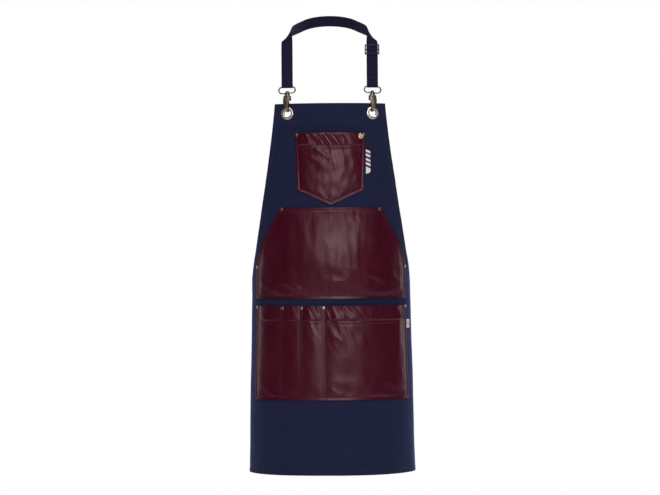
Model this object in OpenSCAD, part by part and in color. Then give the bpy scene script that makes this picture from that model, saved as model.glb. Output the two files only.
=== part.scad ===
/* [Body cloth] */
// Height of the apron body from bib top to bottom hem
body_h = 821; // [700:1:900]
// Half width of the body section, across the wearer
body_a = 186; // [160:1:210]
// Half depth of the body section, front to back
body_b = 120; // [100:1:140]
// Squareness of the body section, 2 is an ellipse
body_p = 2.3; // [2:0.1:3]
// How much smaller the section is at the bib top than at the hem
body_taper = 0.095; // [0:0.005:0.12]
// Thickness of the canvas
cloth_t = 2; // [1.6:0.1:2.4]
// Flat half width of the bib at its top edge
bib_half = 126; // [115:1:135]
// Flat half width of the skirt
skirt_half = 322; // [300:1:330]
// Drop of the armhole curve from the bib top to the waist corner
arm_drop = 460; // [440:1:470]
// Outward slant of the armhole over its whole drop
arm_slant = 18; // [0:1:30]
// How far the upper part of each armhole bulges outwards
arm_bulge = 7; // [0:0.5:8]
// Thickness of the tapes sewn behind the edges
tape_t = 0.8; // [0.6:0.1:1.2]
// Width of the tapes sewn behind the edges
tape_w = 18; // [15:1:20]

/* [Neck strap] */
// Width of the webbing
web_w = 25; // [20:1:30]
// Thickness of the webbing
web_t = 1.6; // [1.2:0.1:2]
// Inner radius of the nape arc
nape_r = 70; // [65:1:80]
// Forward tilt of the nape arc
nape_tilt = 25; // [15:1:35]
// Half of the angle that the nape arc covers
nape_half = 56; // [54:1:60]
// Length of one front strap's straight drop to its fold
drop_z = 88; // [80:1:100]
// Clearance round the wire in each strap fold
fold_gap = 0.7; // [0.5:0.1:0.9]

/* [Hooks and eyelets] */
// Sideways distance of each hook from the middle
hook_x = 94; // [85:1:100]
// Depth of the eyelet centres below the bib top
eyelet_drop = 21.5; // [20:0.5:24]
// Radius of the eyelet hole
eyelet_r = 8.25; // [8:0.05:9]
// Outer radius of the eyelet flange
flange_r = 14; // [13:0.5:15]
// Radius of the loop wire
wire_r = 1.6; // [1.4:0.1:1.8]
// Width over the wire centres of a loop
loop_w = 36.2; // [34:0.1:38]
// Height over the wire centres of a loop
loop_h = 13.8; // [13:0.1:15]
// Sideways lean of each wire loop
loop_lean = 5; // [0:1:6]
// Bend radius of the hook claw at its centre line
claw_r = 9.5; // [9:0.1:10]
// Radius of the swivel rivet shank
shank_r = 2; // [1.8:0.1:2.2]

/* [Pockets] */
// Thickness of the pocket leatherette
hide_t = 1.3; // [1:0.1:1.6]
// How far the chest pocket stands off at its mouth
chest_puff = 9; // [8:0.5:12]
// How far the hand pocket stands off at its mouths
hand_puff = 16; // [12:0.5:18]
// How far the tool pockets stand off at their mouths
tool_puff = 11; // [8:0.5:12]
// Radius of the rivet caps
cap_r = 4; // [3:0.5:5]

/* [Hidden] */

NAVY = "#1b2038";
WINE = "#5a1826";
BRASS = "#8a7448";
GUNMETAL = "#4a4238";
air = 0.5;                                  // space kept between curved layers
bib_top = -170;                             // height of the bib's top edge
hem = bib_top - body_h;
waist = bib_top - arm_drop;                 // height of the waist corners
eyelet_z = bib_top - eyelet_drop;

// ---- the curved body surface: s runs round it from the middle of the front ----
function taper(z) = 1 - body_taper * (z - hem) / body_h;
function spow(v, e) = sign(v) * pow(abs(v), e);
STEPS = 90;
RING = [for (i = [0:STEPS]) let (q = 180 * i / STEPS)
    [body_a * spow(sin(q), 2 / body_p), -body_b * spow(cos(q), 2 / body_p)]];
function run(i) = i == 0 ? 0 : norm(RING[i] - RING[i - 1]);
SUMS = [for (i = 0, t = 0; i <= STEPS; i = i + 1, t = t + (i <= STEPS ? run(i) : 0)) t];
TABLE_X = [for (i = [0:STEPS]) [SUMS[i], RING[i][0]]];
TABLE_Y = [for (i = [0:STEPS]) [SUMS[i], RING[i][1]]];
function flat(s, z) = let (k = taper(z), q = abs(s) / k)
    [sign(s) * k * lookup(q, TABLE_X), k * lookup(q, TABLE_Y)];
function outward(s, z) = let (k = taper(z), c = flat(s, z),
    n = [spow(c[0] / (k * body_a), body_p - 1) / body_a,
         spow(c[1] / (k * body_b), body_p - 1) / body_b]) n / norm(n);
// a point at arc length s and height z, stood off the middle of the cloth by d
function on_body(s, z, d = 0) = let (c = flat(s, z), n = outward(s, z))
    [c[0] + d * n[0], c[1] + d * n[1], z];
function yaw(s, z) = let (n = outward(s, z)) atan2(n[0], -n[1]);
// arc length of the point of the front at a given x
function s_at(x, z) = let (k = taper(z)) lookup(x / k, [for (i = [0:STEPS / 2]) [RING[i][0], SUMS[i]]]) * k;

// half of the cloth's flat width at height z
function arm_half(angle) = bib_half + arm_slant * sin(angle) + arm_bulge * sin(4 * min(angle, 45))
    + (skirt_half - bib_half - arm_slant) * (1 - cos(angle));
function edge_half(z) = z <= waist ? skirt_half : arm_half(asin((bib_top - z) / arm_drop));

eyelet_s = s_at(hook_x, eyelet_z);
hook_y = on_body(eyelet_s, eyelet_z)[1];
hook_yaw = yaw(eyelet_s, eyelet_z);

// ---- closed sheet between two surfaces: place(u, v, side) with side 0 inner and 1 outer ----
module sheet(us, vs, place) {
    nu = len(us);
    nv = len(vs);
    points = [for (side = [0, 1]) for (v = vs) for (u = us) place(u, v, side)];
    function at(side, j, i) = (side * nv + j) * nu + i;
    function quad(a, b, c, d) = [[a, b, c], [a, c, d]];
    faces = [
        for (j = [0:nv - 2]) for (i = [0:nu - 2])
            each quad(at(1, j, i), at(1, j + 1, i), at(1, j + 1, i + 1), at(1, j, i + 1)),
        for (j = [0:nv - 2]) for (i = [0:nu - 2])
            each quad(at(0, j, i), at(0, j, i + 1), at(0, j + 1, i + 1), at(0, j + 1, i)),
        for (i = [0:nu - 2])
            each quad(at(0, 0, i), at(1, 0, i), at(1, 0, i + 1), at(0, 0, i + 1)),
        for (i = [0:nu - 2])
            each quad(at(0, nv - 1, i), at(0, nv - 1, i + 1), at(1, nv - 1, i + 1), at(1, nv - 1, i)),
        for (j = [0:nv - 2])
            each quad(at(0, j, 0), at(0, j + 1, 0), at(1, j + 1, 0), at(1, j, 0)),
        for (j = [0:nv - 2])
            each quad(at(0, j, nu - 1), at(1, j, nu - 1), at(1, j + 1, nu - 1), at(0, j + 1, nu - 1)),
    ];
    polyhedron(points, faces);
}
function spread(a, b, n) = [for (i = [0:n]) a + (b - a) * i / n];
module sided(left) {
    if (left) mirror([1, 0, 0]) children();
    else children();
}
// children stand on the body at (s, z), with -Y straight out of the cloth
module planted(s, z) {
    translate(on_body(s, z)) rotate([0, 0, yaw(s, z)]) children();
}
module pegs(places, r) {
    for (p = places) planted(p[0], p[1]) rotate([90, 0, 0]) cylinder(r = r, h = 30, center = true, $fn = 24);
}

// ---- neck strap ----
fold_z = eyelet_z + 44.6 + loop_h;          // height of the wire that each fold holds
front_top = fold_z + drop_z;                // where the straight front strap starts
nape_mid = nape_r + web_t / 2;
back_dir = [0, cos(nape_tilt), sin(nape_tilt)];
up_dir = [0, -sin(nape_tilt), cos(nape_tilt)];
bend_from = nape_mid * (sin(nape_half) * [1, 0, 0] + cos(nape_half) * back_dir);
bend_along = cos(nape_half) * [1, 0, 0] - sin(nape_half) * back_dir;
bend_to = [hook_x, hook_y, front_top];
BEND = [bend_from, bend_from + 55 * bend_along, bend_to + [0, 0, 35], bend_to];
function bezier(b, t) = pow(1 - t, 3) * b[0] + 3 * t * pow(1 - t, 2) * b[1]
    + 3 * t * t * (1 - t) * b[2] + pow(t, 3) * b[3];
function slope(b, t) = let (d = pow(1 - t, 2) * (b[1] - b[0]) + 2 * t * (1 - t) * (b[2] - b[1])
    + t * t * (b[3] - b[2])) d / norm(d);
// the webbing turns from standing on edge at the nape to lying flat on the chest
function across(t) = let (w = (1 - t * t) * up_dir + t * t * [-1, 0, 0], d = slope(BEND, t),
    v = w - (w * d) * d) v / norm(v);
function web_point(u, t, side) = let (q = max(0, min(t, 1)), w = across(q), d = slope(BEND, q),
    c = bezier(BEND, q) + min(t, 0) * bend_along - [0, 0, max(t - 1, 0)])
    c + u * (web_w / 2 - seat) * w + (side - 0.5) * (web_t - 2 * seat) * cross(w, d);
seat = 0.05;                                // each shoulder starts just inside the nape arc
straight = front_top - fold_z - 20;         // length of the single webbing above a fold
module shoulder() {
    sheet([-1, 0, 1], concat([-2], spread(0, 1, 18), [1 + straight]), function(u, t, side) web_point(u, t, side));
}
module neck_strap() color(NAVY) {
    rotate([nape_tilt, 0, 0]) translate([0, 0, -web_w / 2])
        rotate_extrude(angle = 2 * nape_half, start = 90 - nape_half, $fn = 120)
            translate([nape_r, 0]) square([web_t, web_w]);
    shoulder();
    mirror([1, 0, 0]) shoulder();
}
// the folded end: two sewn layers that open into an eye round the loop wire
module strap_end() {
    eye = wire_r + fold_gap;
    translate([hook_x, hook_y, fold_z]) rotate([0, loop_lean, 0]) rotate([90, 0, 90])
        linear_extrude(web_w, center = true) difference() {
            union() {
                circle(r = eye + web_t, $fn = 48);
                polygon([[-eye - web_t, 0], [eye + web_t, 0], [web_t, 10], [-web_t, 10]]);
            }
            circle(r = eye, $fn = 48);
        }
    translate([hook_x - web_w / 2, hook_y - web_t, fold_z + 8]) cube([web_w, 2 * web_t, 12]);
}
slider_z = front_top - 6;
module strap_return() color(NAVY)
    translate([hook_x - web_w / 2, hook_y + web_t / 2 + 0.3, fold_z + 20.2])
        cube([web_w, web_t, slider_z - 2.2 - fold_z - 20.2]);
// three-bar slide: the outer bars lie before the webbing and the middle bar behind it
module strap_slider() color("#20202a") translate([hook_x, hook_y, slider_z]) {
    bar = 2.2;
    frame_w = web_w + 2 + 2 * 2.6;
    for (z = [-9.5, 9.5])
        translate([0, -web_t / 2 - 0.5 - bar / 2, z]) cube([frame_w, bar, 3], center = true);
    translate([0, web_t / 2 + 0.5 + bar / 2, 0]) cube([frame_w, bar, 3], center = true);
    for (x = [-1, 1])
        translate([x * (frame_w / 2 - 1.3), 0, 0]) cube([2.6, web_t + 1 + 2 * bar, 22], center = true);
}

// ---- swivel hook, drawn about the eyelet centre with z up and -y out of the cloth ----
module rigged(left) sided(left) translate([hook_x, hook_y, eyelet_z]) rotate([0, 0, hook_yaw]) children();
boss_z = 44.6;
claw_z = 4.2;                               // height of the claw's centre line in the hole
claw_mid = claw_z + claw_r;
claw_wide = 4.4;
claw_deep = 3.4;
pin_y = 6.6;
pin_z = 31;
pin_r = 1;
module wire_loop() {
    r = loop_h / 2;
    half = loop_w / 2 - r;
    gap = 3.2;
    rotate([0, loop_lean, 0]) {
        for (x = [-1, 1]) translate([x * half, 0, r]) rotate([90, 0, 0])
            rotate_extrude(angle = 180, start = x > 0 ? -90 : 90, $fn = 64)
                translate([r, 0]) circle(r = wire_r, $fn = 24);
        translate([-half, 0, loop_h]) rotate([0, 90, 0]) cylinder(r = wire_r, h = 2 * half, $fn = 24);
        for (x = [-1, 1]) translate([x > 0 ? gap : -half, 0, 0]) rotate([0, 90, 0])
            cylinder(r = wire_r, h = half - gap, $fn = 24);
    }
    difference() {
        translate([0, 0, -2]) cylinder(r = 4.2, h = 4, $fn = 48);
        translate([0, 0, -3]) cylinder(r = shank_r + 0.08, h = 6, $fn = 48);
    }
}
module swivel_rivet() translate([0, 0, boss_z]) {
    translate([0, 0, -9]) cylinder(r = shank_r, h = 11.4, $fn = 48);
    translate([0, 0, 2.3]) rotate_extrude($fn = 48)
        polygon([[0, 0], [3.8, 0], [3.8, 1], [2.2, 2.6], [0, 3.4]]);
}
module block(w, d, h) linear_extrude(h, center = true) square([w, d], center = true);
module hook_body() difference() {
    union() {
        translate([0, 0, 34]) cylinder(r = 6, h = 8.3, $fn = 48);
        hull() {
            translate([0, 0, 36.5]) block(14, 10, 5);
            translate([0, -claw_r, 26]) block(13, 3, 2);
        }
        hull() {
            translate([0, -claw_r, 26]) block(13, 3, 2);
            translate([0, -claw_r, claw_mid]) block(9.5, claw_deep, 1);
        }
        hull() {
            translate([0, 2, 36.5]) block(11, 6, 5);
            translate([0, pin_y, pin_z]) rotate([0, 90, 0]) cylinder(r = 2.6, h = 10, center = true, $fn = 24);
        }
        // the claw, from the front limb down through the hole and up behind the cloth
        translate([0, 0, claw_mid]) rotate([90, 0, 90])
            rotate_extrude(angle = 196, start = 180, $fn = 96)
                translate([claw_r, 0]) square([claw_deep, claw_wide], center = true);
    }
    // mouth for the gate between the two ears
    translate([0, pin_y + 1, pin_z - 2.6]) cube([5.2, 10, 10.6], center = true);
    translate([0, pin_y, pin_z]) rotate([0, 90, 0]) cylinder(r = pin_r, h = 20, center = true, $fn = 32);
    translate([0, 0, 30]) cylinder(r = shank_r, h = 20, $fn = 48);
    // inside of the ring, which takes the eyelet and the top of the bib
    translate([0, 0, claw_mid]) rotate([0, 90, 0])
        cylinder(r = claw_r - claw_deep / 2, h = 30, center = true, $fn = 96);
    translate([0, 0, claw_mid + 7]) cube([30, 2 * claw_r - claw_deep, 14], center = true);
}
gate_tip = claw_mid + 4.6;
module gate() {
    difference() {
        union() {
            translate([0, pin_y, pin_z]) rotate([0, 90, 0]) cylinder(r = 2, h = 2.8, center = true, $fn = 32);
            rotate([90, 0, 90]) linear_extrude(2.8, center = true)
                polygon([[pin_y - 1.6, pin_z], [pin_y + 1.6, pin_z - 0.4], [claw_r + 0.8, gate_tip],
                    [claw_r - 1.2, gate_tip]]);
        }
        translate([0, pin_y, pin_z]) rotate([0, 90, 0])
            cylinder(r = pin_r + 0.06, h = 20, center = true, $fn = 32);
    }
}
module gate_pin() translate([0, pin_y, pin_z]) rotate([0, 90, 0]) {
    cylinder(r = pin_r, h = 12.4, center = true, $fn = 32);
    for (x = [-1, 1]) translate([0, 0, x * 6.2]) cylinder(r = 1.7, h = 0.8, center = true, $fn = 32);
}
module gate_spring() translate([0, pin_y, pin_z]) rotate([0, 90, 0])
    for (x = [-2.25, -1.75, 1.75, 2.25]) translate([0, 0, x])
        rotate_extrude($fn = 48) translate([1.4, 0]) circle(r = 0.22, $fn = 16);

// ---- eyelets ----
module eyelet() rotate([90, 0, 0]) rotate_extrude($fn = 96)
    polygon([[eyelet_r, -3.7], [eyelet_r + 0.8, -3.7], [eyelet_r + 0.8, 1.5], [flange_r, 1.5],
        [flange_r, 1.9], [flange_r - 2.2, 2.8], [eyelet_r + 1.6, 2.8], [eyelet_r, 1.8]]);
module eyelet_washer() rotate([90, 0, 0]) rotate_extrude($fn = 96)
    polygon([[eyelet_r + 0.9, -3.8], [flange_r - 1, -3.8], [flange_r - 1, -3.1], [eyelet_r + 0.9, -3.1]]);
module eyelet_holes() for (left = [false, true]) rigged(left)
    rotate([90, 0, 0]) cylinder(r = eyelet_r + 1.1, h = 20, center = true, $fn = 48);

// ---- body cloth ----
ARM_ANGLES = spread(90, 0, 15);
BODY_ROWS = concat(spread(hem, waist, 8), [for (i = [1:15]) bib_top - arm_drop * sin(ARM_ANGLES[i])]);
chest_spots = [for (x = [-1, 1]) [x * 74, -240]];
hand_spots = [for (x = [-1, 1]) each [[x * 110, -404], [x * 180, -531]]];
tool_spots = [[-179, -620], [-110, -622], [-66, -622], [-17, -622], [179, -620]];
module body_panel() color(NAVY) difference() {
    sheet(spread(-1, 1, 56), BODY_ROWS, function(u, z, side)
        on_body(u * edge_half(z), z, (side - 0.5) * cloth_t));
    eyelet_holes();
    pegs(concat(chest_spots, hand_spots, tool_spots), 1.05);
}
module top_facing() color(NAVY) difference() {
    sheet(spread(-1, 1, 24), [bib_top - 44, bib_top - 22, bib_top - 1], function(u, z, side)
        on_body(u * (edge_half(z) - 2), z, -cloth_t / 2 - air - (1 - side) * tape_t));
    eyelet_holes();
}
module armhole_tape() color(NAVY)
    sheet([0, 0.5, 1], spread(84, 6, 16), function(u, angle, side) let (z = bib_top - arm_drop * sin(angle))
        on_body(arm_half(angle) - 2 - (1 - u) * tape_w, min(z, bib_top - 46),
            -cloth_t / 2 - 2 * air - (1 - side) * tape_t));

// ---- chest pocket ----
chest_top = -236;
chest_side = -363;
chest_tip = -395;
face = cloth_t / 2 + air;                   // stand-off of a layer that lies on the cloth
// rise of a pocket between its seams: q runs from -1 to 1 across it, flat beyond
function dome(q) = sqrt(max(0, 1 - pow(abs(q), 2.5)));
seam = 0.92;                                // where the flat sewn margin begins
function chest_half(z) = 73 + 4.5 * (z - chest_side) / (chest_top - chest_side);
function chest_foot(u) = chest_side + (chest_tip - chest_side) * (1 - abs(u));
function chest_rise(u, v) = chest_puff * dome(u / seam) * sin(90 * min(1, v));
module chest_pocket() color(WINE) difference() {
    sheet(concat([-1], spread(-seam, seam, 22), [1]), spread(0, 1, 12), function(u, v, side)
        let (z = chest_foot(u) + v * (chest_top - chest_foot(u)))
        on_body(u * chest_half(z), z, face + chest_rise(u, v) + side * hide_t));
    pegs(chest_spots, 1.05);
}
module rivets(places) for (p = places) planted(p[0], p[1]) rotate([90, 0, 0]) {
    translate([0, 0, -cloth_t / 2 - 1.2]) cylinder(r = 1, h = cloth_t + 2 + face + hide_t, $fn = 24);
    translate([0, 0, face + hide_t + 0.5]) rotate_extrude($fn = 48)
        polygon([[0, 0], [cap_r, 0], [cap_r, 0.5], [cap_r * 0.8, 1.3], [0, 1.7]]);
    translate([0, 0, -cloth_t / 2 - 1.7]) cylinder(r = cap_r * 0.8, h = 0.8, $fn = 48);
}
module chest_rivets() color(BRASS) rivets(chest_spots);
// round ornament on the pocket's right corner
module chest_stud() color(BRASS) planted(66, -243) rotate([90, 0, 0])
    translate([0, 0, face + chest_rise(59 / chest_half(-243), 0.95) + hide_t + 0.3]) rotate_extrude($fn = 64)
        polygon([[0, 0], [6.5, 0], [6.5, 0.7], [5.2, 1.6], [3, 1.2], [0, 2.2]]);
// folded ribbon caught in the pocket's right seam, with slanting stripes
module striped_tab() color("white") sheet(spread(78.6, 89, 3), spread(-326, -273, 6),
    function(s, z, side) on_body(s, z, face + 0.1 + side * 1));

// ---- hand pocket: sewn along its top, sides and foot, open along both slanted edges ----
hand_top = -401;
hand_corner = -530;
hand_foot = -602;
hand_open = hand_corner + 8;                // where each slanted mouth starts to gape
function hand_half(z) = z <= hand_corner ? 183
    : 114 + 69 * pow((hand_top - z) / (hand_top - hand_corner), 1.08);
function hand_rise(u, z) = let (v = (z - hand_foot - 7) / (hand_top - hand_foot - 14),
    shut = max(0, min(1, 1 - (z - hand_open) / 50)))
    v <= 0 || v >= 1 ? 0 : hand_puff * sqrt(sin(180 * v)) * sqrt(max(0, 1 - shut * pow(min(1, abs(u) / 0.95), 5)));
HAND_ROWS = concat([hand_foot, hand_foot + 7], spread(hand_foot + 14, hand_corner, 4), [hand_open],
    spread(hand_open + 12, hand_top - 14, 7), [hand_top - 7, hand_top]);
module hand_pocket() color(WINE) difference() {
    sheet(concat([-1], spread(-0.95, 0.95, 30), [1]), HAND_ROWS,
        function(u, z, side) on_body(u * hand_half(z), z, face + hand_rise(u, z) + side * hide_t));
    pegs(hand_spots, 1.05);
}
module hand_rivets() color(BRASS) rivets(hand_spots);
// tape behind each slanted mouth
module mouth_tape() color(NAVY)
    sheet([0, 1], spread(hand_corner + 24, hand_top - 24, 8), function(u, z, side)
        on_body(hand_half(z) - 3 - (1 - u) * 10, z, face + hand_rise(1 - (3 + (1 - u) * 10) / hand_half(z), z)
            - 1 - (1 - side) * tape_t));

// ---- tool pocket: one panel with three sewn dividers, open along its top ----
tool_top = -617.5;
tool_foot = -825.5;
TOOL_HALF = 183;
// the four compartments between the sewn margins, from left to right
TOOL_BAYS = [[-174, -114.5], [-105.5, -70.5], [-61.5, -21.5], [-12.5, 174]];
function tool_rise(s, v) = max([for (bay = TOOL_BAYS) dome((2 * s - bay[0] - bay[1]) / (bay[1] - bay[0]))])
    * tool_puff * sin(90 * min(1, v * 1.4));
TOOL_COLUMNS = concat([-TOOL_HALF], [for (bay = TOOL_BAYS) let (wide = bay[1] - bay[0])
    each [for (i = [0:ceil(wide / 9)]) bay[0] + wide * i / ceil(wide / 9)]], [TOOL_HALF]);
module tool_pocket() color(WINE) difference() {
    sheet(TOOL_COLUMNS, spread(tool_foot, tool_top, 12), function(s, z, side)
        let (v = (z - tool_foot) / (tool_top - tool_foot))
        on_body(s * taper(z) / taper(tool_top), z, face + tool_rise(s, v) + side * hide_t));
    pegs(tool_spots, 1.05);
}
module tool_rivets() color(BRASS) rivets(tool_spots);
// small folded label caught in the right-hand edge of the tool pocket
module side_label() color("white") sheet(spread(186, 197, 3), spread(-669, -650, 3),
    function(s, z, side) on_body(s, z, face + 0.1 + side * 0.9));

// ---- waist ties, tied in a bow behind ----
tie_z = waist - 18;
tie_end = SUMS[STEPS] * taper(tie_z) - 4;
tie_y = on_body(tie_end, tie_z)[1];
module tie_ribbon(path, wide) {
    sheet([-1, 1], [for (i = [0:len(path) - 1]) i], function(u, i, side)
        let (d = path[min(i + 1, len(path) - 1)] - path[max(i - 1, 0)], n = cross(wide, d / norm(d)))
        path[i] + u * web_w / 2 * wide + (side - 0.5) * web_t * n);
}
module waist_tie() {
    sheet(spread(298, tie_end, 20), spread(tie_z - web_w / 2, tie_z + web_w / 2, 1),
        function(s, z, side) on_body(s, z, -cloth_t / 2 - 1 - (1 - side) * web_t));
    // bow loop, out and back beside the knot
    tie_ribbon([for (q = [14:12:346]) [7 + 38 * (1 - cos(q)), tie_y + 6 * sin(q), tie_z - 18 * (1 - cos(q))]],
        [sin(20), 0, cos(20)]);
    // free tail
    tie_ribbon([for (i = [0:8]) [9 + 3.4 * i, tie_y + 3 + 2 * sin(i * 40), tie_z - 17 - 26 * i]],
        [cos(8), 0, sin(8)]);
}
module tie_knot() color(NAVY) translate([0, tie_y, tie_z - 2]) hull() {
    cube([15, 12, 22], center = true);
    cube([21, 8, 17], center = true);
}

neck_strap();
color(NAVY) sided(true) strap_end();  // left_strap_end
color(NAVY) strap_end();  // right_strap_end
strap_return();
strap_slider();
color(GUNMETAL)  // left_wire_loop
    sided(true) translate([hook_x, hook_y, eyelet_z + boss_z]) wire_loop();
color(GUNMETAL)  // right_wire_loop
    translate([hook_x, hook_y, eyelet_z + boss_z]) wire_loop();
color(GUNMETAL) rigged(true) swivel_rivet();  // left_swivel_rivet
color(GUNMETAL) rigged(false) swivel_rivet();  // right_swivel_rivet
color(GUNMETAL) rigged(true) hook_body();  // left_hook_body
color(GUNMETAL) rigged(false) hook_body();  // right_hook_body
color(GUNMETAL) rigged(true) gate();  // left_gate
color(GUNMETAL) rigged(false) gate();  // right_gate
color(BRASS) rigged(true) gate_pin();  // left_gate_pin
color(BRASS) rigged(false) gate_pin();  // right_gate_pin
color(BRASS) rigged(true) gate_spring();  // left_gate_spring
color(BRASS) rigged(false) gate_spring();  // right_gate_spring
color(BRASS) rigged(true) eyelet();  // left_eyelet
color(BRASS) rigged(false) eyelet();  // right_eyelet
color(BRASS) rigged(true) eyelet_washer();  // left_eyelet_washer
color(BRASS) rigged(false) eyelet_washer();  // right_eyelet_washer
body_panel();
top_facing();
sided(true) armhole_tape();  // left_armhole_tape
armhole_tape();  // right_armhole_tape
chest_pocket();
chest_rivets();
chest_stud();
striped_tab();
hand_pocket();
hand_rivets();
sided(true) mouth_tape();  // left_mouth_tape
mouth_tape();  // right_mouth_tape
tool_pocket();
tool_rivets();
side_label();
color(NAVY) sided(true) waist_tie();  // left_waist_tie
color(NAVY) waist_tie();  // right_waist_tie
tie_knot();
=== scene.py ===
import math

import bpy
import numpy as np
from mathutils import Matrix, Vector, noise


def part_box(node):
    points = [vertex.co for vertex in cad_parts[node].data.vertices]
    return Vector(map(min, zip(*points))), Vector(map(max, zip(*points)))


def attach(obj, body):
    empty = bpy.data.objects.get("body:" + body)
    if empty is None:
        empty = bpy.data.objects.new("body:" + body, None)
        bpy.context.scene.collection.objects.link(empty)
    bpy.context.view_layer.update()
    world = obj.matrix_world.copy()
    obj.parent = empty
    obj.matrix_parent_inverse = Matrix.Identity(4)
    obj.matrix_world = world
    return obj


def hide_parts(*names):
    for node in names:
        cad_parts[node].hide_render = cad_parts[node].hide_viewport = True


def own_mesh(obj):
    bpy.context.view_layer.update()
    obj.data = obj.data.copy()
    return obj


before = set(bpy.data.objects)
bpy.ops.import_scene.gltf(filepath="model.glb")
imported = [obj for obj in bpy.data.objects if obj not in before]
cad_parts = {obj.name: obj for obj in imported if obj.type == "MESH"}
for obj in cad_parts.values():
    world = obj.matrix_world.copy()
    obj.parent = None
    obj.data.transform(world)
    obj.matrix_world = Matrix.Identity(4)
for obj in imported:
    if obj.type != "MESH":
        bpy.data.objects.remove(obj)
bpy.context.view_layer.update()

# ---------------------------------------------------------------------------
# Studio: a level camera before the middle of the apron, a pale floor well
# below the hem, two softboxes in front, one behind, and two tall lights that
# graze the sides of the skirt.
# ---------------------------------------------------------------------------
panel_low, panel_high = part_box("body_panel")
CAMERA_GAP = 4.4
CAMERA_HEIGHT = -0.4888
PICTURE_WIDTH = 1.452
FLOOR_HEIGHT = -1.45
camera_data = bpy.data.cameras.new("camera")
camera_data.sensor_width = 36
camera_data.lens = 36 * CAMERA_GAP / PICTURE_WIDTH
camera = bpy.data.objects.new("camera", camera_data)
camera.location = (-0.002, panel_low.y - CAMERA_GAP, CAMERA_HEIGHT)
camera.rotation_euler = (math.radians(90), math.radians(0.40), 0)
bpy.context.scene.collection.objects.link(camera)
bpy.context.scene.camera = camera
bpy.context.scene.view_settings.view_transform = "Standard"

world = bpy.data.worlds.new("studio")
bpy.context.scene.world = world
world.use_nodes = True
backdrop = world.node_tree.nodes["Background"]
ray = world.node_tree.nodes.new("ShaderNodeLightPath")
strength = world.node_tree.nodes.new("ShaderNodeMapRange")
strength.inputs["To Min"].default_value = 0.03
strength.inputs["To Max"].default_value = 1.0
world.node_tree.links.new(ray.outputs["Is Camera Ray"], strength.inputs["Value"])
world.node_tree.links.new(strength.outputs["Result"], backdrop.inputs["Strength"])
backdrop.inputs["Color"].default_value = (1, 1, 1, 1)


def softbox(name, place, aim, width, height, watts):
    lamp = bpy.data.lights.new(name, "AREA")
    lamp.shape = "RECTANGLE"
    lamp.size = width
    lamp.size_y = height
    lamp.energy = watts
    holder = bpy.data.objects.new(name, lamp)
    holder.location = place
    holder.rotation_euler = (Vector(aim) - Vector(place)).to_track_quat("-Z", "Y").to_euler()
    holder.visible_camera = False
    bpy.context.scene.collection.objects.link(holder)


middle = (0, 0, -0.5)
softbox("high_light", (0.2, -2.4, 2.3), middle, 1.8, 1.0, 54)
softbox("front_light", (0.32, -3.7, 0.05), middle, 0.95, 1.5, 42)
softbox("left_light", (-2.2, 0.9, -0.6), middle, 0.3, 2.4, 8)
softbox("right_light", (2.2, 0.9, -0.6), middle, 0.3, 2.4, 10)
softbox("back_light", (0.3, 3.4, 1.0), middle, 1.8, 1.6, 120)

bpy.ops.object.select_all(action="DESELECT")
bpy.ops.mesh.primitive_circle_add(vertices=96, radius=2.4, fill_type="NGON", location=(0, 0, FLOOR_HEIGHT))
floor = bpy.context.object
floor.name = "floor"
floor_paint = bpy.data.materials.new("floor_paint")
floor_paint.use_nodes = True
floor_surface = floor_paint.node_tree.nodes["Principled BSDF"].inputs
floor_surface["Base Color"].default_value = (0.85, 0.85, 0.85, 1)
floor_surface["Roughness"].default_value = 0.8
floor_surface["Emission Color"].default_value = (1, 1, 1, 1)
floor_surface["Emission Strength"].default_value = 0.25
floor.data.materials.append(floor_paint)

# ---------------------------------------------------------------------------
# Body panel: one piece of navy cotton canvas, bib and skirt, cut flat and worn
# round a body. Its outline is a straight bib top, two armhole curves and a
# straight skirt. All that is sewn to it follows the same curved surface.
# ---------------------------------------------------------------------------
BIB_TOP = panel_high.z
HEM = panel_low.z
BODY_HEIGHT = BIB_TOP - HEM
SECTION_HALF_WIDTH = 0.186
SECTION_HALF_DEPTH = 0.120
SECTION_POWER = 2.3
SECTION_TAPER = 0.095
CLOTH = 0.002
BIB_HALF = 0.126
SKIRT_HALF = 0.322
ARM_DROP = 0.460
ARM_SLANT = 0.018
ARM_BULGE = 0.007
WAIST = BIB_TOP - ARM_DROP

turn = np.radians(np.linspace(0, 180, 1801))
ring_x = SECTION_HALF_WIDTH * np.abs(np.sin(turn)) ** (2 / SECTION_POWER)
ring_y = -SECTION_HALF_DEPTH * np.sign(np.cos(turn)) * np.abs(np.cos(turn)) ** (2 / SECTION_POWER)
ring_run = np.concatenate([[0], np.cumsum(np.hypot(np.diff(ring_x), np.diff(ring_y)))])


def noise_at(x, y, z=0.0):
    """Smooth noise from about -1 to 1 at arrays of coordinates."""
    x, y, z = np.broadcast_arrays(x, y, z)
    values = [noise.noise((a, b, c)) for a, b, c in zip(x.ravel(), y.ravel(), z.ravel())]
    return np.array(values).reshape(x.shape)


def ease(value, low, high):
    """0 below low, 1 above high and a smooth step between them."""
    t = np.clip((value - low) / (high - low), 0, 1)
    return t * t * (3 - 2 * t)


def groove(distance, width):
    """A valley of depth 1 at distance 0."""
    return np.exp(-(distance / width) ** 2)


def taper(z):
    return 1 - SECTION_TAPER * (z - HEM) / BODY_HEIGHT


def drape(s, z):
    """How far the cloth strays from the section: upright folds in the loose skirt, slight creases above."""
    loose = 1 - ease(z, -0.88, -0.80) + 0.8 * ease(np.abs(s), 0.195, 0.26) * (1 - ease(z, WAIST - 0.1, WAIST))
    folds = noise_at(s * 11, z * 1.3, 3.1) * 0.0052 + noise_at(s * 30, z * 5, 8.2) * 0.0012
    creases = noise_at(s * 17, z * 15, 1.7) * 0.0007
    return folds * np.minimum(loose, 1) + creases * (1 - ease(z, BIB_TOP - 0.075, BIB_TOP - 0.045))


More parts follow.
